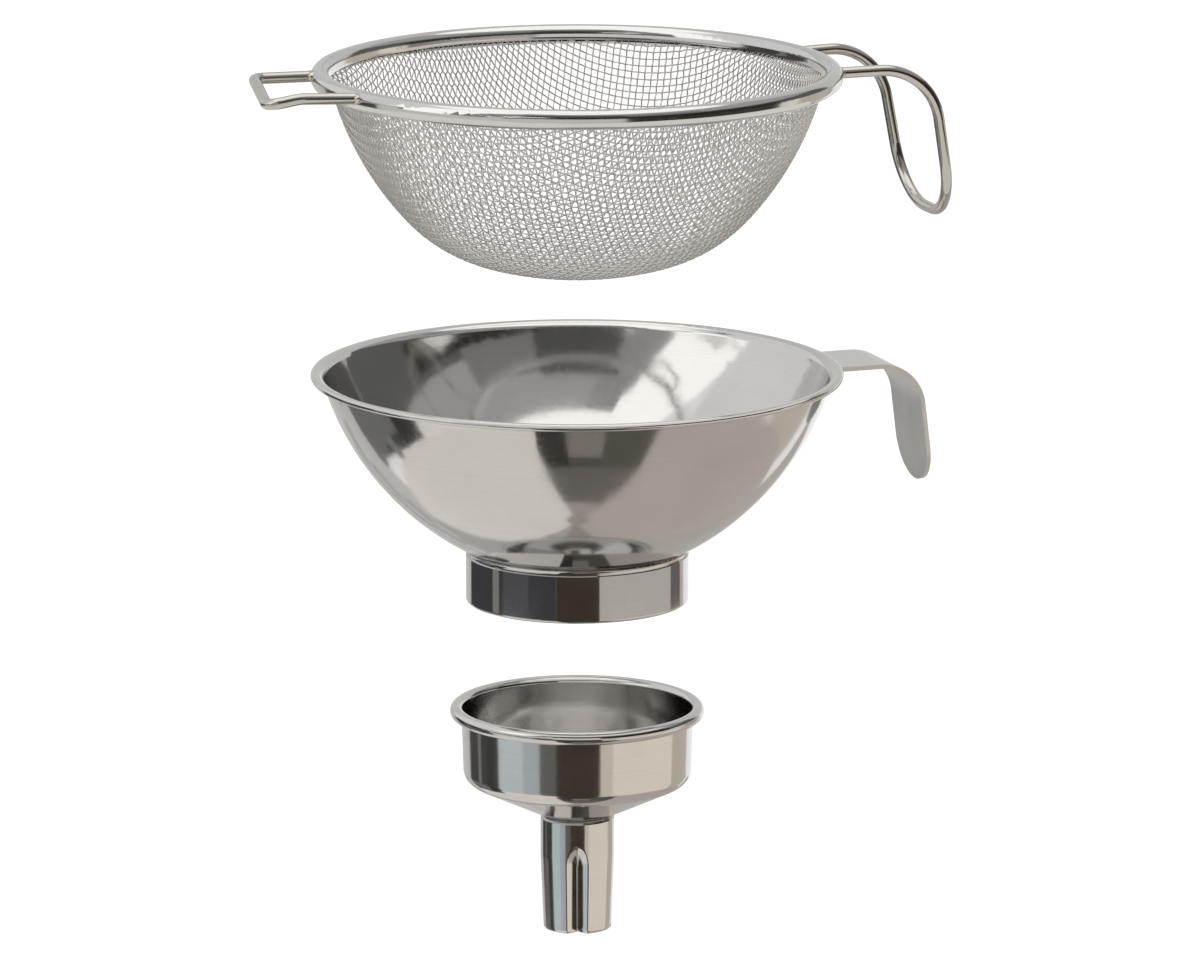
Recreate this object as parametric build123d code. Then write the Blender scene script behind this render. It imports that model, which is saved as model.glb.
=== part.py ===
from build123d import *
from math import cos, radians, sin, sqrt
import os

# A three-piece straining set of stainless steel, drawn exploded on one vertical axis:
# a wire-mesh sieve on top, a wide-neck funnel under it, and a small spout funnel at the bottom.
# The funnel slides up over the sieve bowl, and the spout funnel slides up over the funnel's neck.
# Units are millimetres. +Z is up, +X points to the hanging handles, and the origin is on the
# common axis, in the plane of the underside of the sieve's rim band.

# ---- sieve: rim ----
BAND_OUTER_R = 69.4
BAND_WIDTH = 4.8
BAND_HEIGHT = 5.2
BAND_CORNER_R = 2.2
BAND_SHEET = 0.5
BAND_MOUTH_R = 65.9
BAND_MOUTH_Z = 1.35
HOOP_WIRE_D = 3.0

# ---- sieve: woven bowl, drawn as the shell that holds the weave ----
MESH_THICKNESS = 0.45
MESH_EDGE_R = 66.1
MESH_EDGE_Z = 1.6
MESH_EDGE_RUN = 2.7
MESH_EDGE_LEAN = 41.0
MESH_BEND_R = 4.0
MESH_TOP_LEAN = 16.5
MESH_SIDE_R = 82.3
MESH_SIDE_TURN = 26.3
MESH_SHOULDER_R = 41.7
MESH_SHOULDER_TURN = 31.2

# ---- sieve: wire handle and lug ----
WIRE_D = 3.0
WELD_DEPTH = 0.2
HANDLE_Z = 2.2
HANDLE_HALF_GAP = 17.4
HANDLE_SHOULDER = (92.1, 19.0, 2.5)
HANDLE_SHOULDER_R = 16.5
HANDLE_FOOT = (99.1, 17.0, -38.4)
HANDLE_FOOT_R = 15.5
LUG_Z = 3.4
LUG_HALF_GAP = 18.2
LUG_FRONT_BEND = (-81.5, -17.8, 4.1)
LUG_FRONT_BEND_R = 7.0
LUG_FRONT_CORNER = (-89.8, -15.6, 2.4)
LUG_BACK_CORNER = (-83.0, 17.0, 3.9)
LUG_CORNER_R = 3.6

# ---- wide funnel ----
FLANGE_Z = -75.8
FLANGE_R = 70.0
FLANGE_ROLL_R = 0.95
FLANGE_ROLL_TURN = 245.0
FLANGE_FILLET_R = 2.0
SHEET = 0.6
WALL_R = 66.9
WALL_TOP_DEPTH = 2.0
WALL_LEAN = 16.5
WALL_BEND_R = 75.0
WALL_TURN = 45.5
COLLAR_FILLET_R = 1.6
COLLAR_LENGTH = 2.6
NECK_R = 29.4
NECK_SHEET = 0.5
NECK_BOTTOM_Z = -137.5
NECK_TOP_GAP = 0.5
NECK_LIP_R = 0.9

# ---- strap handle ----
STRAP_WIDTH = 21.7
STRAP_SHEET = 1.2
STRAP_TOP = 2.1
STRAP_RUN_END = 81.5
STRAP_BEND_R = 13.0
STRAP_BEND_TURN = 83.0
STRAP_DROP = 22.6
STRAP_TAB_ANGLE = 7.0
STRAP_ROOT = 6.0

# ---- spout funnel ----
BEAD_TOP_Z = -165.8
BEAD_R = 1.75
BEAD_TURN = 300.0
CUP_R = 30.7
CUP_SHEET = 0.5
CUP_LEAN = 1.6
CUP_CORNER_R = 4.0
CONE_SLOPE = 25.5
CONE_FILLET_R = 1.0
SPOUT_R = 9.8
SPOUT_SHEET = 0.6
SPOUT_TOP_Z = -196.7
SPOUT_STRAIGHT = 10.0
SPOUT_TIP_R = 9.0
SPOUT_TIP_Z = -226.7
SPOUT_SLEEVE = 3.5
FLUTE_ANGLE = -110.0
FLUTE_DEPTH = 3.0
FLUTE_TOP_Z = -202.5
FLUTE_RUN_OUT = 6.0
FLUTE_REACH = 14.0

DOWN = -90.0


# ---------------------------------------------------------------- sheet outlines

def direction(heading):
    return Vector(cos(radians(heading)), 0, sin(radians(heading)))


def right_side(heading):
    return direction(heading - 90)


def spans_along(start, heading, steps):
    """Stations (point, heading) at the start, middle and end of each run or bend.

    A step is (length, 0) for a straight run, or (radius, turn) for a bend, in degrees,
    positive to the left. The walk is in the XZ plane.
    """
    point = Vector(start[0], 0, start[1])
    spans = []
    for size, turn in steps:
        stations = [(point, heading)]
        for part in (0.5, 1.0):
            if turn == 0:
                reached = point + direction(heading) * size * part
                stations.append((reached, heading))
            else:
                side = 1 if turn > 0 else -1
                centre = point - right_side(heading) * size * side
                turned = heading + turn * part
                stations.append((centre + right_side(turned) * size * side, turned))
        spans.append((turn, stations))
        point, heading = stations[-1]
    return spans


def edges_beside(spans, distance):
    """Edges parallel to the walk, at a distance to its right."""
    edges = []
    for turn, stations in spans:
        points = [point + right_side(heading) * distance for point, heading in stations]
        if turn == 0:
            edges.append(Line(points[0], points[2]))
        else:
            edges.append(ThreePointArc(*points))
    return edges


def sheet_face(start, heading, steps, thickness):
    """Face of a bent sheet whose skin follows the walk and whose metal lies to the right."""
    spans = spans_along(start, heading, steps)
    skin = edges_beside(spans, 0)
    back = edges_beside(spans, thickness)
    first = Line(skin[0] @ 0, back[0] @ 0)
    last = Line(skin[-1] @ 1, back[-1] @ 1)
    return make_face(skin + [last] + back + [first])


def spun_sheet(start, heading, steps, thickness):
    return revolve(sheet_face(start, heading, steps, thickness), Axis.Z)


def filled_below(start, heading, steps, top_z):
    """Solid of revolution inside a walk that leads down, from top_z to the walk's end."""
    spans = spans_along(start, heading, steps)
    skin = edges_beside(spans, 0)
    high = skin[0] @ 0
    low = skin[-1] @ 1
    lines = [
        Line((high.X, 0, top_z), high),
        Line(low, (0, 0, low.Z)),
        Line((0, 0, low.Z), (0, 0, top_z)),
        Line((0, 0, top_z), (high.X, 0, top_z)),
    ]
    return revolve(make_face(skin + lines), Axis.Z)


# ---------------------------------------------------------------- sieve

def band_outline(inset):
    """Rounded outline of the rim band's section, drawn smaller by an inset."""
    centre = (BAND_OUTER_R - BAND_WIDTH / 2, 0, BAND_HEIGHT / 2)
    plane = Plane(origin=centre, x_dir=(1, 0, 0), z_dir=(0, -1, 0))
    outline = RectangleRounded(
        BAND_WIDTH - 2 * inset, BAND_HEIGHT - 2 * inset, BAND_CORNER_R - inset
    )
    return plane * outline


def make_rim_band():
    section = band_outline(0) - band_outline(BAND_SHEET)
    mouth = Plane(origin=(BAND_MOUTH_R, 0, BAND_MOUTH_Z), x_dir=(1, 0, 0), z_dir=(0, -1, 0))
    section -= mouth * Pos(-BAND_WIDTH / 2, -BAND_HEIGHT / 2, 0) * Rectangle(BAND_WIDTH, BAND_HEIGHT)
    return revolve(section, Axis.Z)


def make_rim_hoop_wire():
    centre_r = BAND_OUTER_R - BAND_WIDTH / 2 + 0.2
    centre_z = BAND_HEIGHT / 2 + 0.45
    plane = Plane(origin=(centre_r, 0, centre_z), x_dir=(1, 0, 0), z_dir=(0, -1, 0))
    return revolve(plane * Circle(HOOP_WIRE_D / 2), Axis.Z)


def mesh_steps():
    """Bends of the bowl's outer skin, from its edge inside the band to the pole."""
    steps = [
        (MESH_EDGE_RUN, 0),
        (MESH_BEND_R, MESH_EDGE_LEAN - MESH_TOP_LEAN),
        (MESH_SIDE_R, -MESH_SIDE_TURN),
        (MESH_SHOULDER_R, -MESH_SHOULDER_TURN),
    ]
    start = (MESH_EDGE_R, MESH_EDGE_Z)
    last_point, last_heading = spans_along(start, DOWN - MESH_EDGE_LEAN, steps)[-1][1][-1]
    to_pole = 180 + last_heading
    floor_r = last_point.X / sin(radians(to_pole))
    return steps + [(floor_r, -to_pole)]


def make_mesh_bowl():
    start = (MESH_EDGE_R, MESH_EDGE_Z)
    return spun_sheet(start, DOWN - MESH_EDGE_LEAN, mesh_steps(), MESH_THICKNESS)


def round_wire(points, radii):
    path = FilletPolyline(*points, radius=radii)
    start = path @ 0
    section = Plane(origin=start, z_dir=path % 0) * Circle(WIRE_D / 2)
    return sweep(section, path=path)


def weld_x(half_gap):
    """X of a wire end that is let into the band's outer wall at a distance from the X axis."""
    return sqrt((BAND_OUTER_R - WELD_DEPTH) ** 2 - half_gap ** 2)


def make_handle_wire():
    sx, sy, sz = HANDLE_SHOULDER
    fx, fy, fz = HANDLE_FOOT
    weld = weld_x(HANDLE_HALF_GAP)
    points = [
        (weld, -HANDLE_HALF_GAP, HANDLE_Z),
        (sx, -sy, sz),
        (fx, -fy, fz),
        (fx, fy, fz),
        (sx, sy, sz),
        (weld, HANDLE_HALF_GAP, HANDLE_Z),
    ]
    radii = [HANDLE_SHOULDER_R, HANDLE_FOOT_R, HANDLE_FOOT_R, HANDLE_SHOULDER_R]
    return round_wire(points, radii)


def make_rest_lug_wire():
    """A loop with one leg a little longer than the other, bowed down at the longer leg's corner."""
    weld = -weld_x(LUG_HALF_GAP)
    points = [
        (weld, -LUG_HALF_GAP, LUG_Z),
        LUG_FRONT_BEND,
        LUG_FRONT_CORNER,
        LUG_BACK_CORNER,
        (weld, LUG_HALF_GAP, LUG_Z),
    ]
    return round_wire(points, [LUG_FRONT_BEND_R, LUG_CORNER_R, LUG_CORNER_R])


# ---------------------------------------------------------------- wide funnel

def wall_start():
    return (WALL_R, FLANGE_Z - WALL_TOP_DEPTH)


def wall_steps():
    return [(WALL_BEND_R, -WALL_TURN)]


def collar_steps():
    """The end of the bowl: a short run, a small fillet, and an upright collar inside the neck."""
    wall_end = spans_along(wall_start(), DOWN - WALL_LEAN, wall_steps())[-1][1][-1][0]
    steepness = WALL_LEAN + WALL_TURN
    fillet_width = COLLAR_FILLET_R * (1 - cos(radians(steepness)))
    run = (wall_end.X - fillet_width - NECK_R + NECK_SHEET) / sin(radians(steepness))
    return [(run, 0), (COLLAR_FILLET_R, steepness), (COLLAR_LENGTH, 0)]


def rim_steps():
    """From the wall's top up to the flat of the flange, along the skin that faces out and down."""
    lean = radians(WALL_LEAN)
    rise = WALL_TOP_DEPTH - SHEET - FLANGE_FILLET_R * (1 - sin(lean))
    steps = [(rise / cos(lean), 0), (FLANGE_FILLET_R, WALL_LEAN - 90)]
    fillet_end = spans_along(wall_start(), 90 - WALL_LEAN, steps)[-1][1][-1][0]
    flat = FLANGE_R - FLANGE_ROLL_R - fillet_end.X
    return steps + [(flat, 0)]


def make_funnel_bowl():
    wall = spun_sheet(wall_start(), DOWN - WALL_LEAN, wall_steps() + collar_steps(), SHEET)
    rim = spun_sheet(wall_start(), 90 - WALL_LEAN, rim_steps(), -SHEET)
    roll_start = (FLANGE_R - FLANGE_ROLL_R, FLANGE_Z)
    roll = spun_sheet(roll_start, 0, [(FLANGE_ROLL_R, -FLANGE_ROLL_TURN)], SHEET)
    return wall + rim + roll


def bowl_envelope():
    """Everything inside the funnel's outer skin, used to fit parts against it."""
    return filled_below(wall_start(), DOWN - WALL_LEAN, wall_steps(), FLANGE_Z)


def bowl_foot():
    """Outer radius and height at which the bowl's last fillet ends."""
    spans = spans_along(wall_start(), DOWN - WALL_LEAN, wall_steps() + collar_steps())
    point = spans[-1][1][0][0]
    return point.X, point.Z


def make_neck_ring():
    foot_r, foot_z = bowl_foot()
    top_z = foot_z - NECK_TOP_GAP
    run = top_z - NECK_BOTTOM_Z - NECK_LIP_R
    steps = [(run, 0), (NECK_LIP_R, -60)]
    return spun_sheet((NECK_R, top_z), DOWN, steps, NECK_SHEET)


def rounded_tip(strip, tip):
    """Cut the strap's end to a half round, square to the strap's last run."""
    end, heading = tip
    radius = STRAP_WIDTH / 2
    centre = end - direction(heading) * radius
    plane = Plane(origin=centre, x_dir=direction(heading), z_dir=right_side(heading))
    past = plane * Pos(radius / 2, 0, 0) * Rectangle(radius, STRAP_WIDTH)
    waste = past - plane * Circle(radius)
    return strip - extrude(waste, 3 * STRAP_SHEET, both=True)


def make_strap_handle():
    """A bent strip with a tab that lies on the bowl's outer skin below the flange."""
    top_z = FLANGE_Z - STRAP_TOP
    root = (WALL_R - STRAP_ROOT, top_z)
    steps = [
        (STRAP_RUN_END - root[0], 0),
        (STRAP_BEND_R, -STRAP_BEND_TURN),
        (STRAP_DROP, 0),
    ]
    strip = extrude(sheet_face(root, 0, steps, STRAP_SHEET), STRAP_WIDTH / 2, both=True, dir=(0, 1, 0))
    strip = rounded_tip(strip, spans_along(root, 0, steps)[-1][1][-1])
    tab_steps = [(WALL_BEND_R, -STRAP_TAB_ANGLE)]
    tab = spun_sheet(wall_start(), DOWN - WALL_LEAN, tab_steps, -STRAP_SHEET)
    tab &= Pos(WALL_R, 0, top_z - STRAP_WIDTH) * Box(STRAP_WIDTH, STRAP_WIDTH, 2 * STRAP_WIDTH)
    return strip + tab - bowl_envelope()


# ---------------------------------------------------------------- spout funnel

def cup_steps(wall_length):
    """Bends of the cup's outer skin below the bead: wall, corner, cone, fillet and sleeve."""
    start = (CUP_R, BEAD_TOP_Z - BEAD_R)
    corner_turn = 90 - CONE_SLOPE - CUP_LEAN
    steps = [(wall_length, 0), (CUP_CORNER_R, -corner_turn)]
    corner = spans_along(start, DOWN - CUP_LEAN, steps)[-1][1][-1][0]
    fillet_turn = 90 - CONE_SLOPE
    fillet_width = CONE_FILLET_R * (1 - cos(radians(fillet_turn)))
    sleeve_r = SPOUT_R - SPOUT_SHEET
    cone_run = (corner.X - sleeve_r - fillet_width) / cos(radians(CONE_SLOPE))
    return steps + [(cone_run, 0), (CONE_FILLET_R, fillet_turn), (SPOUT_SLEEVE, 0)]


def make_cup():
    bead_z = BEAD_TOP_Z - BEAD_R
    bead = spun_sheet((CUP_R - CUP_SHEET, bead_z), 90, [(BEAD_R, -BEAD_TURN)], CUP_SHEET)
    start = (CUP_R, bead_z)
    heading = DOWN - CUP_LEAN
    trial = spans_along(start, heading, cup_steps(1.0))
    sleeve_top = trial[-1][1][0][0]
    wall_length = 1.0 + (sleeve_top.Z - SPOUT_TOP_Z) / cos(radians(CUP_LEAN))
    return bead + spun_sheet(start, heading, cup_steps(wall_length), CUP_SHEET)


def spout_body(inset, bottom):
    """Solid spout, straight and then tapered, drawn smaller by an inset."""
    points = [
        (0, SPOUT_TOP_Z),
        (SPOUT_R - inset, SPOUT_TOP_Z),
        (SPOUT_R - inset, SPOUT_TOP_Z - SPOUT_STRAIGHT),
        (SPOUT_TIP_R - inset, bottom),
        (0, bottom),
    ]
    outline = Polyline(*[(r, 0, z) for r, z in points], close=True)
    return revolve(make_face(outline), Axis.Z)


def flute_tool(grow):
    """A V-shaped wedge down the spout's side, running out to a point at its top."""
    apex = SPOUT_R - FLUTE_DEPTH - grow * sqrt(2)
    corner = FLUTE_REACH - apex
    full_z = FLUTE_TOP_Z - FLUTE_RUN_OUT
    lines = Polyline((apex, 0), (FLUTE_REACH, corner), (FLUTE_REACH, -corner), close=True)
    wedge = Pos(0, 0, full_z) * make_face(lines)
    taper = (SPOUT_R - SPOUT_TIP_R) / (SPOUT_TOP_Z - SPOUT_STRAIGHT - SPOUT_TIP_Z)
    groove = extrude(wedge, full_z - SPOUT_TIP_Z + FLUTE_DEPTH, dir=(-taper, 0, -1))
    run_out = extrude(wedge, 2 * FLUTE_RUN_OUT, dir=(FLUTE_DEPTH / FLUTE_RUN_OUT, 0, 1))
    return Rot(0, 0, FLUTE_ANGLE) * (groove + run_out)


def make_spout_tube():
    outer = spout_body(0, SPOUT_TIP_Z) - flute_tool(0)
    inner = spout_body(SPOUT_SHEET, SPOUT_TIP_Z - 1) - flute_tool(SPOUT_SHEET)
    return outer - inner


# ---------------------------------------------------------------- files

PARTS = {
    "mesh_bowl": make_mesh_bowl,
    "rim_band": make_rim_band,
    "rim_hoop_wire": make_rim_hoop_wire,
    "handle_wire": make_handle_wire,
    "rest_lug_wire": make_rest_lug_wire,
    "funnel_bowl": make_funnel_bowl,
    "neck_ring": make_neck_ring,
    "strap_handle": make_strap_handle,
    "cup": make_cup,
    "spout_tube": make_spout_tube,
}

os.makedirs("parts", exist_ok=True)
for name, make in PARTS.items():
    shape = make()
    export_step(shape, f"parts/{name}.step")
    box = shape.bounding_box()
    print(name, len(shape.solids()), round(shape.volume, 1), box.min, box.max)
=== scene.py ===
import math

import bpy
import numpy as np
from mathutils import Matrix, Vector


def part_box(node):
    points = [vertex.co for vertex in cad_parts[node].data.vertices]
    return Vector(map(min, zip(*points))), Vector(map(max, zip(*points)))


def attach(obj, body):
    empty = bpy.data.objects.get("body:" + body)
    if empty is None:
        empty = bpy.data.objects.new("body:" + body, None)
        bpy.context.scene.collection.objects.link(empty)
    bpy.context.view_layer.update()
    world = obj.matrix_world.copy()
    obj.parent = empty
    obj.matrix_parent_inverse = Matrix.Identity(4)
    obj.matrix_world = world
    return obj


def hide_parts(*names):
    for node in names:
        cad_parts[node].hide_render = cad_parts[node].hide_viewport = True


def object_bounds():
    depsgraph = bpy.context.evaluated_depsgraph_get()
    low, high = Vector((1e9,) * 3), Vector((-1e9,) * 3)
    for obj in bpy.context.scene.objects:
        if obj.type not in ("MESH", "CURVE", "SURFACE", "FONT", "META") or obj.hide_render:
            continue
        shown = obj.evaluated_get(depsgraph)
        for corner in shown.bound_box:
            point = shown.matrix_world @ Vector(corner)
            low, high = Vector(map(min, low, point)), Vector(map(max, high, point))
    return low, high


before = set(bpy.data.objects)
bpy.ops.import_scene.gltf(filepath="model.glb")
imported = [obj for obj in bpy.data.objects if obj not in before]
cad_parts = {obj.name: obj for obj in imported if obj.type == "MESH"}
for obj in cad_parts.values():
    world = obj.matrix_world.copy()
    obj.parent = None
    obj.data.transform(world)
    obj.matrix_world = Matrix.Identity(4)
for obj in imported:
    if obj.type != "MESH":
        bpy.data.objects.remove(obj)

# A nested straining set of stainless steel, exploded on one axis: a woven sieve, a wide-neck
# funnel and a spout funnel. Lengths are in metres. Azimuths in the studio are measured from
# the camera's side, positive to its right.

CAD_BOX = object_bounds()
MM = 0.001

# ---------------------------------------------------------------- camera

CAMERA_AZIMUTH = math.radians(20.0)
CAMERA_PITCH = math.radians(12.3)
CAMERA_DISTANCE = 2.223
CAMERA_HEIGHT = 0.3794
CAMERA_SIDESTEP = 0.006
CAMERA_LENS = 259.2

AWAY = Vector((math.sin(CAMERA_AZIMUTH), math.cos(CAMERA_AZIMUTH), 0.0))
RIGHT = Vector((math.cos(CAMERA_AZIMUTH), -math.sin(CAMERA_AZIMUTH), 0.0))
UP = Vector((0.0, 0.0, 1.0))


def place(right, away, up):
    """A point measured from the axis: to the right of, away from and above the first view."""
    return RIGHT * right + AWAY * away + UP * up


def make_camera():
    data = bpy.data.cameras.new("camera")
    data.lens = CAMERA_LENS
    data.sensor_width = 36.0
    data.sensor_fit = "HORIZONTAL"
    data.clip_end = 50.0
    camera = bpy.data.objects.new("camera", data)
    camera.location = place(CAMERA_SIDESTEP, -CAMERA_DISTANCE, CAMERA_HEIGHT)
    camera.rotation_euler = (math.pi / 2 - CAMERA_PITCH, 0.0, -CAMERA_AZIMUTH)
    bpy.context.scene.collection.objects.link(camera)
    bpy.context.scene.camera = camera


# ---------------------------------------------------------------- mesh helpers

def mesh_object(name, vertices, faces, material, smooth=False):
    mesh = bpy.data.meshes.new(name)
    mesh.from_pydata(vertices, [], faces)
    mesh.polygons.foreach_set("use_smooth", [smooth] * len(mesh.polygons))
    mesh.materials.append(material)
    mesh.update()
    piece = bpy.data.objects.new(name, mesh)
    bpy.context.scene.collection.objects.link(piece)
    return piece


def add_piece(name, vertices, faces, material, body, replaced=()):
    """A smooth visible piece that rides on a body and may stand for CAD nodes."""
    piece = mesh_object(name, vertices, faces, material, smooth=True)
    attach(piece, body)
    if replaced:
        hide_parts(*replaced)
    return piece


def grid_faces(rows, columns, first=0):
    """Quads of a grid of points whose rows close on themselves."""
    row, column = np.meshgrid(np.arange(rows - 1), np.arange(columns), indexing="ij")
    here = first + row * columns + column
    beside = first + row * columns + (column + 1) % columns
    return np.stack([here, beside, beside + columns, here + columns], -1).reshape(-1, 4).tolist()


# ---------------------------------------------------------------- node helpers

class Nodes:
    """A material's node tree with short ways to add and link nodes."""

    def __init__(self, name):
        self.material = bpy.data.materials.new(name)
        self.material.use_nodes = True
        self.tree = self.material.node_tree
        self.shader = self.tree.nodes["Principled BSDF"]

    def add(self, kind, inputs=None, **settings):
        node = self.tree.nodes.new(kind)
        for key, value in settings.items():
            setattr(node, key, value)
        for key, value in (inputs or {}).items():
            if isinstance(value, bpy.types.NodeSocket):
                self.tree.links.new(value, node.inputs[key])
            else:
                node.inputs[key].default_value = value
        return node

    def link(self, output, socket):
        self.tree.links.new(output, self.shader.inputs[socket])

    def math(self, operation, a, b=0.0):
        return self.add("ShaderNodeMath", {0: a, 1: b}, operation=operation).outputs[0]

    def noise(self, vector, scale, detail=3.0, roughness=0.55):
        inputs = {"Vector": vector, "Scale": scale, "Detail": detail, "Roughness": roughness}
        return self.add("ShaderNodeTexNoise", inputs).outputs["Fac"]

    def spread(self, value, low, high, to_low, to_high):
        inputs = {"Value": value, "From Min": low, "From Max": high, "To Min": to_low, "To Max": to_high}
        return self.add("ShaderNodeMapRange", inputs).outputs["Result"]

    def colours(self, value, stops):
        ramp = self.add("ShaderNodeValToRGB", {"Fac": value})
        elements = ramp.color_ramp.elements
        while len(elements) < len(stops):
            elements.new(0.5)
        for element, (position, colour) in zip(elements, stops):
            element.position = position
            element.color = (*colour, 1.0)
        return ramp.outputs["Color"]


def flat_material(name, colour, glow=0.0):
    nodes = Nodes(name)
    nodes.shader.inputs["Base Color"].default_value = (*colour, 1.0)
    nodes.shader.inputs["Roughness"].default_value = 0.9
    nodes.shader.inputs["Emission Color"].default_value = (*colour, 1.0)
    nodes.shader.inputs["Emission Strength"].default_value = glow
    return nodes.material


# ---------------------------------------------------------------- studio

FLOOR_GAP = 0.03
FLOOR_REACH = 12.0
PANEL_RADIUS = 1.7
PANEL_CENTRE = Vector((0.0, 0.0, -0.11))
PANEL_STEP = 6.0

# Far panels round the set: low and high azimuth, low and high elevation in degrees, colour and,
# for a slanting panel, how many degrees of azimuth it gains for each degree of elevation. Colours
# are linear light levels, fitted to the reflections on the photographed set.
PANELS = {
    "front_dark": (-21, 23, -36, -10.5, (0.058, 0.046, 0.033)),
    "front_light_line": (-21, 23, -10.5, 2, (0.90, 0.86, 0.80)),
    "front_left_grey": (-38, -21, -30, 2, (0.15, 0.148, 0.14)),
    "left_blue_near": (-56, -38, -30, 2, (0.49, 0.53, 0.56)),
    "left_blue": (-86, -56, -30, 4, (0.61, 0.68, 0.71)),
    "left_stripe": (-118, -113, -40, 4, (0.24, 0.24, 0.23)),
    "left_wall_low": (-137, -104, -35, -20, (0.19, 0.19, 0.18)),
    "left_dark_post": (-104, -91, -39, -18, (0.050, 0.048, 0.042)),
    "left_back_grey": (-180, -137, -40, 4, (0.62, 0.61, 0.59)),
    "left_low_front": (-88, -21, -40, -30, (0.90, 0.86, 0.81)),
    "left_low": (-150, -22, -88, -40, (0.84, 0.80, 0.75)),
    "left_back_low": (-165, -150, -88, -20, (0.46, 0.45, 0.43)),
    "right_beige_edge": (23, 36, -32, 2, (0.72, 0.66, 0.58)),
    "right_beige": (36, 110, -32, 2, (0.91, 0.84, 0.74)),
    "right_beige_back": (110, 142, -32, 4, (0.60, 0.55, 0.48)),
    "right_low": (43, 150, -88, -32, (0.54, 0.49, 0.45)),
    "right_back_low": (150, 165, -88, -20, (0.50, 0.48, 0.44)),
    "behind": (165, 195, -60, -20, (0.50, 0.48, 0.45)),
    "behind_low": (165, 195, -86, -60, (0.36, 0.325, 0.30)),
    "low_dark_left": (-22, -6, -60, -36, (0.05, 0.047, 0.04)),
    "low_dark_edge": (-6, 15, -43, -36, (0.08, 0.07, 0.06)),
    "low_grey_patch": (-6, 15, -55, -43, (0.26, 0.24, 0.215)),
    "low_dark_middle": (-6, 15, -60, -55, (0.10, 0.09, 0.08)),
    "low_dark_right": (15, 43, -60, -32, (0.115, 0.105, 0.09)),
    "low_dark_tip": (-22, 43, -79, -60, (0.17, 0.155, 0.14)),
    "straight_below": (-180, 180, -90, -85, (0.38, 0.345, 0.32)),
    "below_front": (-22, 43, -85, -79, (0.42, 0.38, 0.35)),
    "horizon_dark": (-12, 92, 2, 20, (0.035, 0.03, 0.026)),
    "horizon_left": (-92, -12, 3, 12, (0.050, 0.048, 0.045)),
    "upper_front": (-24, 22, 20, 44, (0.095, 0.095, 0.095)),
    "upper_front_right": (22, 60, 20, 41, (0.24, 0.235, 0.23)),
    "upper_right": (60, 135, 4, 29, (0.13, 0.13, 0.13)),
    "upper_right_high": (60, 135, 29, 42, (0.42, 0.42, 0.41)),
    "behind_upper": (135, 210, 4, 58, (0.65, 0.65, 0.64)),
    "upper_left_key": (-90, -54, 12, 60, (1.45, 1.43, 1.40), 0.6),
    "upper_left_grey": (-54, -33, 12, 58, (0.32, 0.32, 0.31), 0.6),
    "upper_left_back": (-150, -80, 4, 60, (0.85, 0.85, 0.85)),
    "high_front": (-24, 135, 41, 58, (0.43, 0.42, 0.41)),
    "overhead": (-180, 180, 58, 90, (1.42, 1.40, 1.35)),
}

# The dark side wall on the left ends below in a straight table edge: its azimuths, the lowest
# elevation that the edge reaches, the azimuth where it does, and the top.
SIDE_WALL = (-137, -86, -40, -97, 4)
SIDE_WALL_COLOUR = (0.068, 0.069, 0.064)
SIDE_WALL_RADIUS = PANEL_RADIUS * 1.02
SIDE_WALL_ROWS = 8

# Upright cards level with what the neck and the sieve's rim reflect: azimuths, radius, low and
# high Z, and colour.
UPRIGHT_CARDS = {
    "neck_left_dark": (-140, -21, 0.42, -0.238, -0.190, (0.060, 0.058, 0.064)),
    "neck_left_strip": (-95, -86, 0.41, -0.237, -0.191, (0.26, 0.26, 0.25)),
    "neck_left_haze": (-80, -50, 0.41, -0.237, -0.191, (0.095, 0.095, 0.100)),
    "neck_right_grey": (23, 108, 0.42, -0.238, -0.190, (0.58, 0.555, 0.505)),
    "neck_right_strip": (110, 130, 0.42, -0.232, -0.200, (0.17, 0.16, 0.15)),
    "rim_dark": (20, 92, 0.50, -0.115, 0.160, (0.035, 0.030, 0.026)),
    "rim_light": (-90, 20, 0.50, -0.150, 0.010, (0.72, 0.69, 0.65)),
}

# A pale shelf below the sieve's rim on the camera's side: azimuths, inner and outer radius, Z.
RIM_SHELF = (-100, 100, 0.078, 0.170, -0.035)
RIM_SHELF_COLOUR = (0.90, 0.87, 0.82)


def studio_direction(azimuth, elevation):
    """Unit vector to a place in the studio; azimuth 0 is the camera's side."""
    flat = math.cos(elevation)
    return place(math.sin(azimuth) * flat, -math.cos(azimuth) * flat, math.sin(elevation))


def even_steps(low, high):
    """Evenly spaced angles in radians from one angle in degrees to another."""
    return np.radians(np.linspace(low, high, max(2, round((high - low) / PANEL_STEP) + 1)))


def add_glowing_sheet(name, rows, colour):
    """A sheet of studio light or shade through rows of points, seen only in reflections."""
    columns = len(rows[0])
    vertices = [point for row in rows for point in row]
    faces = []
    for row in range(len(rows) - 1):
        for column in range(columns - 1):
            corner = row * columns + column
            faces.append((corner, corner + 1, corner + columns + 1, corner + columns))
    material = flat_material(name, (0.0, 0.0, 0.0))
    shader = material.node_tree.nodes["Principled BSDF"]
    shader.inputs["Emission Color"].default_value = (*colour, 1.0)
    shader.inputs["Emission Strength"].default_value = 1.0
    shader.inputs["Specular IOR Level"].default_value = 0.0
    material.cycles.emission_sampling = "NONE"
    sheet = mesh_object(name, vertices, faces, material)
    sheet.visible_camera = False
    sheet.visible_shadow = False
    sheet.visible_diffuse = False


def far_point(azimuth, elevation, radius=PANEL_RADIUS):
    return PANEL_CENTRE + studio_direction(azimuth, elevation) * radius


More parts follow.
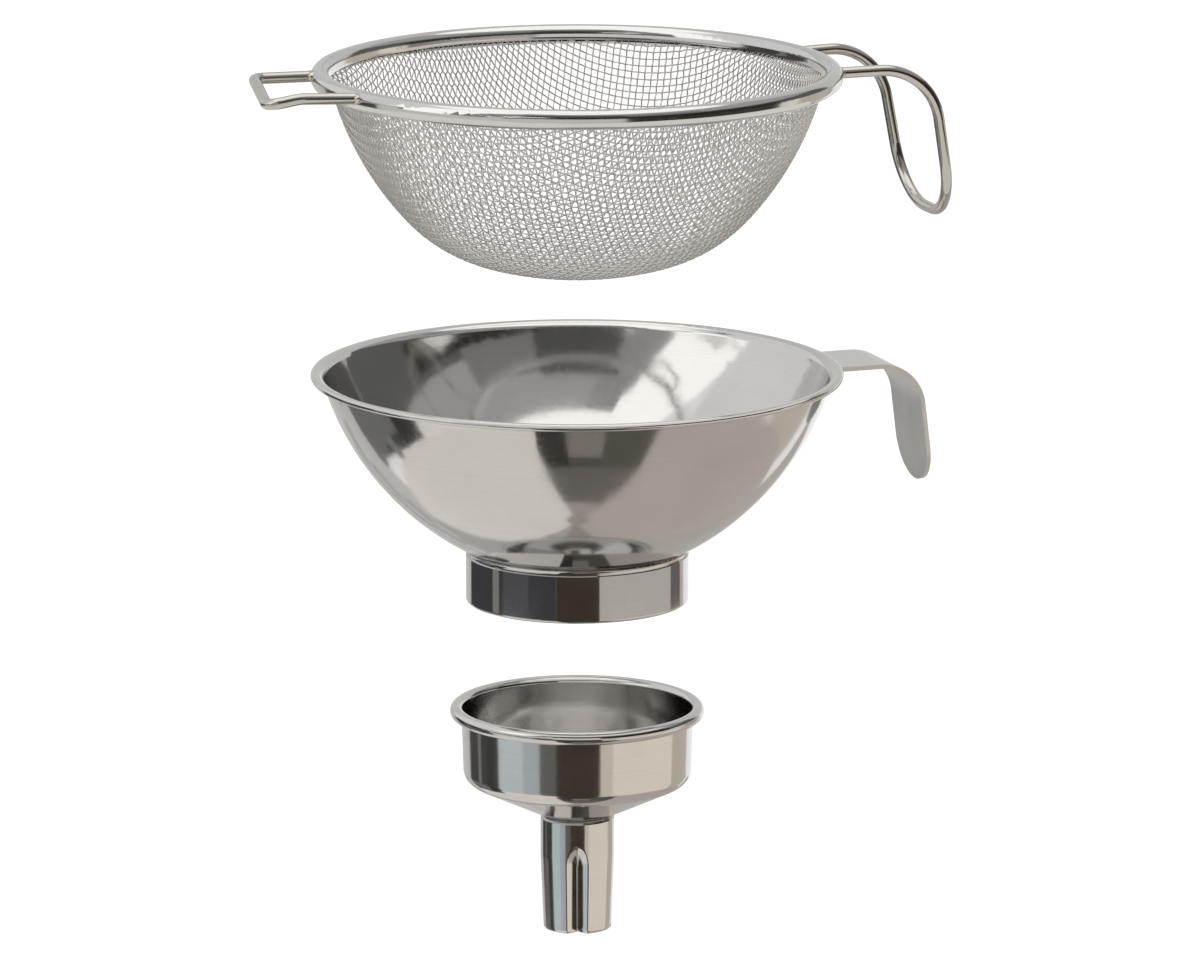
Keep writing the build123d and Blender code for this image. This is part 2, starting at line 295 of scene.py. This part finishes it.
def add_far_panel(name, azimuth_low, azimuth_high, low, high, colour, slant=0.0):
    azimuths = even_steps(azimuth_low, azimuth_high)
    elevations = even_steps(low, high)
    rows = []
    for elevation in elevations:
        shift = slant * (elevation - elevations[0])
        rows.append([far_point(azimuth + shift, elevation) for azimuth in azimuths])
    add_glowing_sheet(name, rows, colour)


def add_side_wall():
    """The dark wall behind the table's straight left edge, a little beyond the far panels."""
    azimuth_low, azimuth_high = SIDE_WALL[:2]
    lowest, nearest, top = np.radians(SIDE_WALL[2:])
    columns = []
    for azimuth in even_steps(azimuth_low, azimuth_high):
        edge = math.atan(math.tan(lowest) * math.cos(azimuth - nearest))
        elevations = np.linspace(edge, top, SIDE_WALL_ROWS + 1)
        columns.append([far_point(azimuth, elevation, SIDE_WALL_RADIUS) for elevation in elevations])
    rows = [list(row) for row in zip(*columns)]
    add_glowing_sheet("left_side_wall", rows, SIDE_WALL_COLOUR)


def ring_row(azimuths, radius, z):
    """Points at a radius from the axis and a height."""
    return [studio_direction(azimuth, 0.0) * radius + UP * z for azimuth in azimuths]


def add_upright_card(name, azimuth_low, azimuth_high, radius, low, high, colour):
    azimuths = even_steps(azimuth_low, azimuth_high)
    add_glowing_sheet(name, [ring_row(azimuths, radius, z) for z in (low, high)], colour)


def add_rim_shelf():
    azimuth_low, azimuth_high, inner, outer, z = RIM_SHELF
    azimuths = even_steps(azimuth_low, azimuth_high)
    rows = [ring_row(azimuths, radius, z) for radius in (inner, outer)]
    add_glowing_sheet("rim_shelf", rows, RIM_SHELF_COLOUR)


def make_floor():
    """A white floor a little below the set, kept out of reflections."""
    floor_z = CAD_BOX[0][2] - FLOOR_GAP
    sides = ((-1, -1), (1, -1), (1, 1), (-1, 1))
    corners = [(x * FLOOR_REACH, y * FLOOR_REACH, floor_z) for x, y in sides]
    white = flat_material("floor_white", (0.93, 0.93, 0.93), 0.2)
    floor = mesh_object("floor", corners, [(0, 1, 2, 3)], white)
    floor.visible_glossy = False


def make_studio():
    make_floor()
    world = bpy.data.worlds.new("studio")
    bpy.context.scene.world = world
    world.use_nodes = True
    background = world.node_tree.nodes["Background"]
    background.inputs["Color"].default_value = (1.0, 1.0, 1.0, 1.0)
    background.inputs["Strength"].default_value = 1.0
    for name, panel in PANELS.items():
        add_far_panel(name, *panel)
    for name, card in UPRIGHT_CARDS.items():
        add_upright_card(name, *card)
    add_side_wall()
    add_rim_shelf()
    bpy.context.scene.view_settings.view_transform = "Standard"


# ---------------------------------------------------------------- materials

def steel(name, colour, roughness, lines, line_depth, polish=0.5):
    """Stainless steel with fine tool lines, faint smudges and shallow dents.

    Lines are "spun" round the axis or run "along" the metal. Polish is how even the gloss is.
    """
    nodes = Nodes(name)
    shader = nodes.shader
    place_on = nodes.add("ShaderNodeTexCoord").outputs["Object"]
    split = nodes.add("ShaderNodeSeparateXYZ", {"Vector": place_on})
    x, y, z = split.outputs
    if lines == "spun":
        x_squared = nodes.math("MULTIPLY", x, x)
        y_squared = nodes.math("MULTIPLY", y, y)
        across = nodes.math("SQRT", nodes.math("ADD", x_squared, y_squared))
        turn = nodes.math("MULTIPLY", nodes.math("ARCTAN2", y, x), 0.0004)
        grain = nodes.add("ShaderNodeCombineXYZ", {"X": across, "Y": z, "Z": turn}).outputs[0]
    else:
        long_x = nodes.math("MULTIPLY", x, 0.02)
        long_z = nodes.math("MULTIPLY", z, 0.02)
        grain = nodes.add("ShaderNodeCombineXYZ", {"X": long_x, "Y": y, "Z": long_z}).outputs[0]
    line_height = nodes.noise(grain, 2600.0, detail=2.0)
    smudge = nodes.noise(place_on, 38.0, detail=5.0, roughness=0.6)
    speck = nodes.noise(place_on, 900.0, detail=1.0)
    tint = nodes.math("ADD", nodes.math("MULTIPLY", smudge, 0.7), nodes.math("MULTIPLY", line_height, 0.3))
    darker = tuple(channel * 0.93 for channel in colour)
    lighter = tuple(min(1.0, channel * 1.04) for channel in colour)
    nodes.link(nodes.colours(tint, [(0.3, darker), (0.7, lighter)]), "Base Color")
    gloss = nodes.math("ADD", nodes.math("MULTIPLY", smudge, 0.75), nodes.math("MULTIPLY", speck, 0.25))
    low = roughness * (1.0 - 0.5 * (1.0 - polish))
    high = roughness * (1.0 + 0.9 * (1.0 - polish))
    nodes.link(nodes.spread(gloss, 0.35, 0.68, low, high), "Roughness")
    bump = nodes.add("ShaderNodeBump", {"Strength": 1.0, "Distance": line_depth, "Height": line_height})
    wobble = nodes.noise(place_on, 55.0, detail=1.0)
    dents = {"Strength": 1.0, "Distance": 0.02 * MM, "Height": wobble, "Normal": bump.outputs["Normal"]}
    nodes.link(nodes.add("ShaderNodeBump", dents).outputs["Normal"], "Normal")
    shader.inputs["Metallic"].default_value = 1.0
    return nodes.material


STEELS = {
    "woven_wire": steel("woven_wire", (0.64, 0.625, 0.605), 0.33, "along", 0.001 * MM),
    "rim_steel": steel("rim_steel", (0.66, 0.655, 0.65), 0.12, "spun", 0.0015 * MM),
    "rod_steel": steel("rod_steel", (0.55, 0.53, 0.50), 0.14, "along", 0.001 * MM),
    "funnel_steel": steel("funnel_steel", (0.66, 0.65, 0.635), 0.10, "spun", 0.0015 * MM, 0.3),
    "neck_steel": steel("neck_steel", (0.64, 0.635, 0.63), 0.07, "spun", 0.001 * MM),
    "strap_steel": steel("strap_steel", (0.73, 0.73, 0.72), 0.34, "along", 0.002 * MM),
    "cup_steel": steel("cup_steel", (0.66, 0.65, 0.635), 0.10, "spun", 0.002 * MM),
    "spout_steel": steel("spout_steel", (0.64, 0.63, 0.615), 0.11, "spun", 0.001 * MM),
}

NODE_STEEL = {
    "mesh_bowl": "woven_wire",
    "rim_band": "rim_steel",
    "rim_hoop_wire": "rod_steel",
    "handle_wire": "rod_steel",
    "rest_lug_wire": "rod_steel",
    "funnel_bowl": "funnel_steel",
    "neck_ring": "neck_steel",
    "strap_handle": "strap_steel",
    "cup": "cup_steel",
    "spout_tube": "spout_steel",
}


def finish_cad_nodes():
    for node, slot in NODE_STEEL.items():
        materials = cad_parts[node].data.materials
        materials.clear()
        materials.append(STEELS[slot])


# ---------------------------------------------------------------- woven bowl

WIRE_D = 0.41 * MM
PITCH = 1.85 * MM
WIRE_SIDES = 6
SAMPLES_PER_PITCH = 4
WARP_AZIMUTH = math.radians(53.0)
OUTLINE_CENTRE_Z = 10.0 * MM
EDGE_MARGIN = 6.0 * MM
SHELL = 0.45 * MM
WANDER = 0.05 * MM


def bowl_outline():
    """Arc length, radius and height along the middle of the CAD bowl's shell, from its pole."""
    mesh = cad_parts["mesh_bowl"].data
    points = np.empty(len(mesh.vertices) * 3)
    mesh.vertices.foreach_get("co", points)
    points = points.reshape(-1, 3)
    normals = np.empty(len(mesh.vertices) * 3)
    mesh.vertex_normals.foreach_get("vector", normals)
    normals = normals.reshape(-1, 3)
    radius = np.hypot(points[:, 0], points[:, 1])
    drop = OUTLINE_CENTRE_Z - points[:, 2]
    from_centre = points - np.array([0.0, 0.0, OUTLINE_CENTRE_Z])
    faces_out = (from_centre * normals).sum(1) > 0.8 * np.hypot(radius, drop)
    angle = np.arctan2(radius, drop)[faces_out]
    reach = np.hypot(radius, drop)[faces_out] - SHELL / 2
    order = np.argsort(angle)
    angle, reach = angle[order], reach[order]
    keep = np.concatenate([[True], np.diff(angle) > math.radians(0.1)])
    angle, reach = angle[keep], reach[keep]
    fine = np.linspace(0.0, angle[-1], 600)
    reach = np.interp(fine, angle, reach)
    radius, height = reach * np.sin(fine), OUTLINE_CENTRE_Z - reach * np.cos(fine)
    run = np.concatenate([[0.0], np.cumsum(np.hypot(np.diff(radius), np.diff(height)))])
    out = np.array([radius[-1] - radius[-6], height[-1] - height[-6]])
    out /= np.hypot(*out)
    edge = run[-1]
    radius = np.append(radius, radius[-1] + out[0] * EDGE_MARGIN * 4)
    height = np.append(height, height[-1] + out[1] * EDGE_MARGIN * 4)
    return np.append(run, edge + EDGE_MARGIN * 4), radius, height, edge


RUN, OUTLINE_R, OUTLINE_Z, EDGE_RUN = bowl_outline()


def on_bowl(u, v):
    """Points of the bowl at flat places (u, v): distance from the pole is kept, and direction."""
    run = np.maximum(np.hypot(u, v), 1e-9)
    radius = np.interp(run, RUN, OUTLINE_R)
    height = np.interp(run, RUN, OUTLINE_Z)
    return np.stack([radius * u / run, radius * v / run, height], -1)


def bowl_normal(u, v):
    """Unit normals of the bowl, towards its inside."""
    run = np.maximum(np.hypot(u, v), 1e-9)
    step = 0.4 * MM
    slope_r = np.interp(run + step, RUN, OUTLINE_R) - np.interp(run - step, RUN, OUTLINE_R)
    slope_z = np.interp(run + step, RUN, OUTLINE_Z) - np.interp(run - step, RUN, OUTLINE_Z)
    normal = np.stack([-slope_z * u / run, -slope_z * v / run, slope_r], -1)
    return normal / np.linalg.norm(normal, axis=-1, keepdims=True)


def step_away_from(u, v, first, second):
    """Move flat places until each is one pitch from both of its known neighbours."""
    nudge = 0.01 * MM
    for _ in range(10):
        here = on_bowl(u, v)
        along_u = (on_bowl(u + nudge, v) - here) / nudge
        along_v = (on_bowl(u, v + nudge) - here) / nudge
        to_first, to_second = here - first, here - second
        miss_first = (to_first ** 2).sum(-1) - PITCH ** 2
        miss_second = (to_second ** 2).sum(-1) - PITCH ** 2
        a, b = 2 * (to_first * along_u).sum(-1), 2 * (to_first * along_v).sum(-1)
        c, d = 2 * (to_second * along_u).sum(-1), 2 * (to_second * along_v).sum(-1)
        scale = a * d - b * c
        scale = np.where(np.abs(scale) < 1e-12, 1e-12, scale)
        move_u = (d * miss_first - b * miss_second) / scale
        move_v = (a * miss_second - c * miss_first) / scale
        u = u - np.clip(move_u, -PITCH / 3, PITCH / 3)
        v = v - np.clip(move_v, -PITCH / 3, PITCH / 3)
    return u, v


def net_quarter():
    """Flat places of the wire crossings in one quarter, as cloth of square mesh drapes a bowl."""
    count = int((EDGE_RUN + EDGE_MARGIN) / PITCH) + 1
    u = np.zeros((count, count))
    v = np.zeros((count, count))
    u[:, 0] = np.arange(count) * PITCH
    v[0, :] = np.arange(count) * PITCH
    for diagonal in range(2, 2 * count - 1):
        i = np.arange(max(1, diagonal - count + 1), min(diagonal, count))
        j = diagonal - i
        guess_u = u[i - 1, j] + u[i, j - 1] - u[i - 1, j - 1]
        guess_v = v[i - 1, j] + v[i, j - 1] - v[i - 1, j - 1]
        first = on_bowl(u[i - 1, j], v[i - 1, j])
        second = on_bowl(u[i, j - 1], v[i, j - 1])
        new_u, new_v = step_away_from(guess_u, guess_v, first, second)
        inside = np.hypot(guess_u, guess_v) < EDGE_RUN + EDGE_MARGIN
        u[i, j] = np.where(inside, new_u, guess_u)
        v[i, j] = np.where(inside, new_v, guess_v)
    return u, v


def whole_net():
    """Flat places of all crossings, with a slight wander of each wire."""
    u, v = net_quarter()
    count = len(u)
    index = np.arange(1 - count, count)
    i, j = np.meshgrid(index, index, indexing="ij")
    all_u = np.sign(i) * u[abs(i), abs(j)]
    all_v = np.sign(j) * v[abs(i), abs(j)]
    all_u = all_u + WANDER * (np.sin(1.9 * i + 0.17 * j) + 0.6 * np.sin(0.23 * j + 2.1 * i * i % 7))
    all_v = all_v + WANDER * (np.sin(2.3 * j + 0.13 * i) + 0.6 * np.sin(0.19 * i + 1.7 * j * j % 5))
    return index, all_u, all_v


def smooth_between(values):
    """Catmull-Rom samples between the values along the first axis."""
    before, start, end, after = values[:-3], values[1:-2], values[2:-1], values[3:]
    samples = []
    for k in range(SAMPLES_PER_PITCH):
        t = k / SAMPLES_PER_PITCH
        samples.append(0.5 * (2 * start + (end - before) * t
                              + (2 * before - 5 * start + 4 * end - after) * t ** 2
                              + (3 * start - 3 * end + after - before) * t ** 3))
    return np.stack(samples, 1).reshape(-1, *values.shape[1:])


def wire_tube(centres, normals):
    """Vertices and faces of a round wire along its centres, with closed ends."""
    along = np.gradient(centres, axis=0)
    along /= np.linalg.norm(along, axis=1, keepdims=True)
    side = np.cross(along, normals)
    side /= np.linalg.norm(side, axis=1, keepdims=True)
    lift = np.cross(side, along)
    angles = 2 * np.pi * np.arange(WIRE_SIDES) / WIRE_SIDES
    ring = np.cos(angles)[None, :, None] * lift[:, None, :]
    ring = ring + np.sin(angles)[None, :, None] * side[:, None, :]
    vertices = (centres[:, None, :] + ring * WIRE_D / 2).reshape(-1, 3)
    faces = grid_faces(len(centres), WIRE_SIDES)
    faces.append(tuple(range(WIRE_SIDES - 1, -1, -1)))
    faces.append(tuple(range((len(centres) - 1) * WIRE_SIDES, len(centres) * WIRE_SIDES)))
    return vertices, faces


def woven_wire(u_nodes, v_nodes, start, lift_sign):
    """One wire through its crossings, over and under by half a wire, cut at the bowl's edge."""
    u = smooth_between(u_nodes)
    v = smooth_between(v_nodes)
    position = start + 1 + np.arange(len(u)) / SAMPLES_PER_PITCH
    inside = np.flatnonzero(np.hypot(u, v) < EDGE_RUN)
    if len(inside) < 2 * SAMPLES_PER_PITCH:
        return None
    u, v, position = u[inside], v[inside], position[inside]
    normals = bowl_normal(u, v)
    lift = lift_sign * WIRE_D / 2 * np.cos(np.pi * position)
    centres = on_bowl(u, v) + normals * lift[:, None]
    turn = np.array([
        [math.cos(WARP_AZIMUTH), -math.sin(WARP_AZIMUTH), 0.0],
        [math.sin(WARP_AZIMUTH), math.cos(WARP_AZIMUTH), 0.0],
        [0.0, 0.0, 1.0],
    ])
    return wire_tube(centres @ turn.T, normals @ turn.T)


def add_woven_piece(name, wires):
    """One mesh of many wires, kept out of reflections so that the funnels don't mirror the weave."""
    vertices, faces, first = [], [], 0
    for wire_vertices, wire_faces in wires:
        vertices.append(wire_vertices)
        faces.extend(tuple(first + k for k in face) for face in wire_faces)
        first += len(wire_vertices)
    stacked = np.concatenate(vertices).tolist()
    material = STEELS["woven_wire"]
    piece = add_piece(name, stacked, faces, material, "sieve", ["mesh_bowl"])
    piece.visible_glossy = False


def weave_bowl():
    index, u, v = whole_net()
    for family in ("warp", "weft"):
        wires = []
        for k, number in enumerate(index):
            sign = 1 if number % 2 == 0 else -1
            if family == "warp":
                wire = woven_wire(u[:, k], v[:, k], index[0], sign)
            else:
                wire = woven_wire(u[k, :], v[k, :], index[0], -sign)
            if wire:
                wires.append(wire)
        half = len(wires) // 2
        add_woven_piece(f"weave_{family}_a", wires[:half])
        add_woven_piece(f"weave_{family}_b", wires[half:])


# ---------------------------------------------------------------- spout

SPOUT_SHEET = 0.6 * MM
SPOUT_STRAIGHT = 10.0 * MM
SPOUT_TIP_SHRINK = 0.8 * MM
FLUTE_ANGLE = math.radians(-110.0)
FLUTE_DEPTH = 2.9 * MM
FLUTE_HALF_WIDTH = 3.1 * MM
FLUTE_TOP_DROP = 5.6 * MM
FLUTE_RUN_OUT = 6.5 * MM
FLUTE_ROUNDING = 0.16
FLUTE_SHOULDER = 0.10
FLUTE_ARC = 0.42
FLUTE_COLUMNS = 73
PLAIN_COLUMNS = 96
SPOUT_LIP = 0.22 * MM
SPOUT_SHARP_ANGLE = math.radians(50.0)


def eased(t):
    """Smooth step from 0 to 1."""
    t = np.clip(t, 0.0, 1.0)
    return t * t * (3 - 2 * t)


def flute_sink(across, drop):
    """How far the spout's skin is pressed in, beside the flute's middle and below the spout's top."""
    down = np.clip((drop - FLUTE_TOP_DROP) / FLUTE_RUN_OUT, 0.0, 1.0)
    half_width = FLUTE_HALF_WIDTH * np.sqrt(1 - (1 - down) ** 2) + 1e-6
    depth = FLUTE_DEPTH * eased(down) ** 0.7
    t = np.abs(across) / half_width
    ridge = np.sqrt(t ** 2 + FLUTE_ROUNDING ** 2) - FLUTE_ROUNDING
    vee = np.clip(1 - ridge / (math.sqrt(1 + FLUTE_ROUNDING ** 2) - FLUTE_ROUNDING), 0.0, 1.0)
    return depth * (np.sqrt(vee ** 2 + FLUTE_SHOULDER ** 2) - FLUTE_SHOULDER)


def spout_angles():
    """Angles round the spout, closer together across the flute."""
    flute = np.linspace(-FLUTE_ARC, FLUTE_ARC, FLUTE_COLUMNS)
    rest = np.linspace(FLUTE_ARC, 2 * np.pi - FLUTE_ARC, PLAIN_COLUMNS + 2)[1:-1]
    return np.concatenate([flute, rest])


def spout_drops(length):
    """Depths of the spout's rows below its top, closer together where the flute runs out."""
    flute_full = FLUTE_TOP_DROP + FLUTE_RUN_OUT
    return np.concatenate([
        np.linspace(0.0, FLUTE_TOP_DROP, 6)[:-1],
        np.linspace(FLUTE_TOP_DROP, flute_full, 33)[:-1],
        np.linspace(flute_full, length - SPOUT_LIP, 24),
    ])


def make_spout():
    """The spout with its pressed flute: the outer skin, a rounded lip and the inner skin."""
    low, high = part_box("spout_tube")
    length = high[2] - low[2]
    radius = (high[0] - low[0]) / 2
    angles = spout_angles()
    turned = angles + FLUTE_ANGLE
    drops = spout_drops(length)
    across = radius * np.where(angles > np.pi, angles - 2 * np.pi, angles)
    rows = []

    def add_row(drop, inset, z):
        taper = max(0.0, (drop - SPOUT_STRAIGHT) / (length - SPOUT_STRAIGHT))
        reach = radius - SPOUT_TIP_SHRINK * taper - flute_sink(across, drop) - inset
        x, y = reach * np.cos(turned), reach * np.sin(turned)
        rows.append(np.stack([x, y, np.full_like(turned, z)], -1))

    for drop in drops:
        add_row(drop, 0.0, high[2] - drop)
    add_row(length, SPOUT_LIP * 0.4, low[2] + SPOUT_LIP * 0.3)
    add_row(length, SPOUT_LIP, low[2])
    add_row(length, SPOUT_SHEET - SPOUT_LIP, low[2])
    add_row(length, SPOUT_SHEET, low[2] + SPOUT_LIP)
    for drop in drops[::-1]:
        add_row(drop, SPOUT_SHEET, high[2] - drop)
    vertices = np.concatenate(rows)
    count = len(angles)
    faces = grid_faces(len(rows), count)
    last = (len(rows) - 1) * count
    for k in range(count):
        beside = (k + 1) % count
        faces.append((last + k, last + beside, beside, k))
    spout = add_piece("spout_pressed", vertices.tolist(), faces, STEELS["spout_steel"],
                      "spout_funnel", ["spout_tube"])
    spout.data.set_sharp_from_angle(angle=SPOUT_SHARP_ANGLE)


# ---------------------------------------------------------------- weld beads

BEAD_SIZE = (2.3 * MM, 1.5 * MM, 1.5 * MM)
BEAD_TURNS = 20
BEAD_ROWS = 12


def wire_ends(node):
    """Middle of each welded end of a bent wire: the points of its mesh nearest the axis."""
    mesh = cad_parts[node].data
    points = np.empty(len(mesh.vertices) * 3)
    mesh.vertices.foreach_get("co", points)
    points = points.reshape(-1, 3)
    ends = []
    for side in (-1, 1):
        half = points[points[:, 1] * side > 0]
        near = np.abs(half[:, 0]).min()
        ends.append(Vector(half[np.abs(half[:, 0]) < near + 0.2 * MM].mean(0)))
    return ends


def add_weld_bead(name, centre, seed):
    """A small lump of weld metal, longer along the rim than across it."""
    outward = Vector((centre.x, centre.y, 0.0)).normalized()
    along = UP.cross(outward)
    vertices = []
    for row in range(BEAD_ROWS):
        tilt = math.pi * (row + 0.5) / BEAD_ROWS
        for k in range(BEAD_TURNS):
            turn = 2 * math.pi * k / BEAD_TURNS
            lump = 1 + 0.10 * math.sin(3 * turn + seed) * math.sin(2 * tilt)
            lump += 0.07 * math.cos(5 * tilt + seed)
            offset = along * (BEAD_SIZE[0] * math.sin(tilt) * math.cos(turn))
            offset += UP * (BEAD_SIZE[1] * math.sin(tilt) * math.sin(turn))
            offset += outward * (BEAD_SIZE[2] * math.cos(tilt))
            vertices.append(centre + offset * lump)
    faces = grid_faces(BEAD_ROWS, BEAD_TURNS)
    faces.append(tuple(range(BEAD_TURNS - 1, -1, -1)))
    faces.append(tuple(range((BEAD_ROWS - 1) * BEAD_TURNS, BEAD_ROWS * BEAD_TURNS)))
    add_piece(name, vertices, faces, STEELS["rod_steel"], "sieve")


def make_weld_beads():
    for node in ("handle_wire", "rest_lug_wire"):
        for k, end in enumerate(wire_ends(node)):
            add_weld_bead(f"weld_{node}_{k}", end, 1.3 * k + len(node))


# ---------------------------------------------------------------- scene

make_camera()
make_studio()
finish_cad_nodes()
weave_bowl()
make_spout()
make_weld_beads()
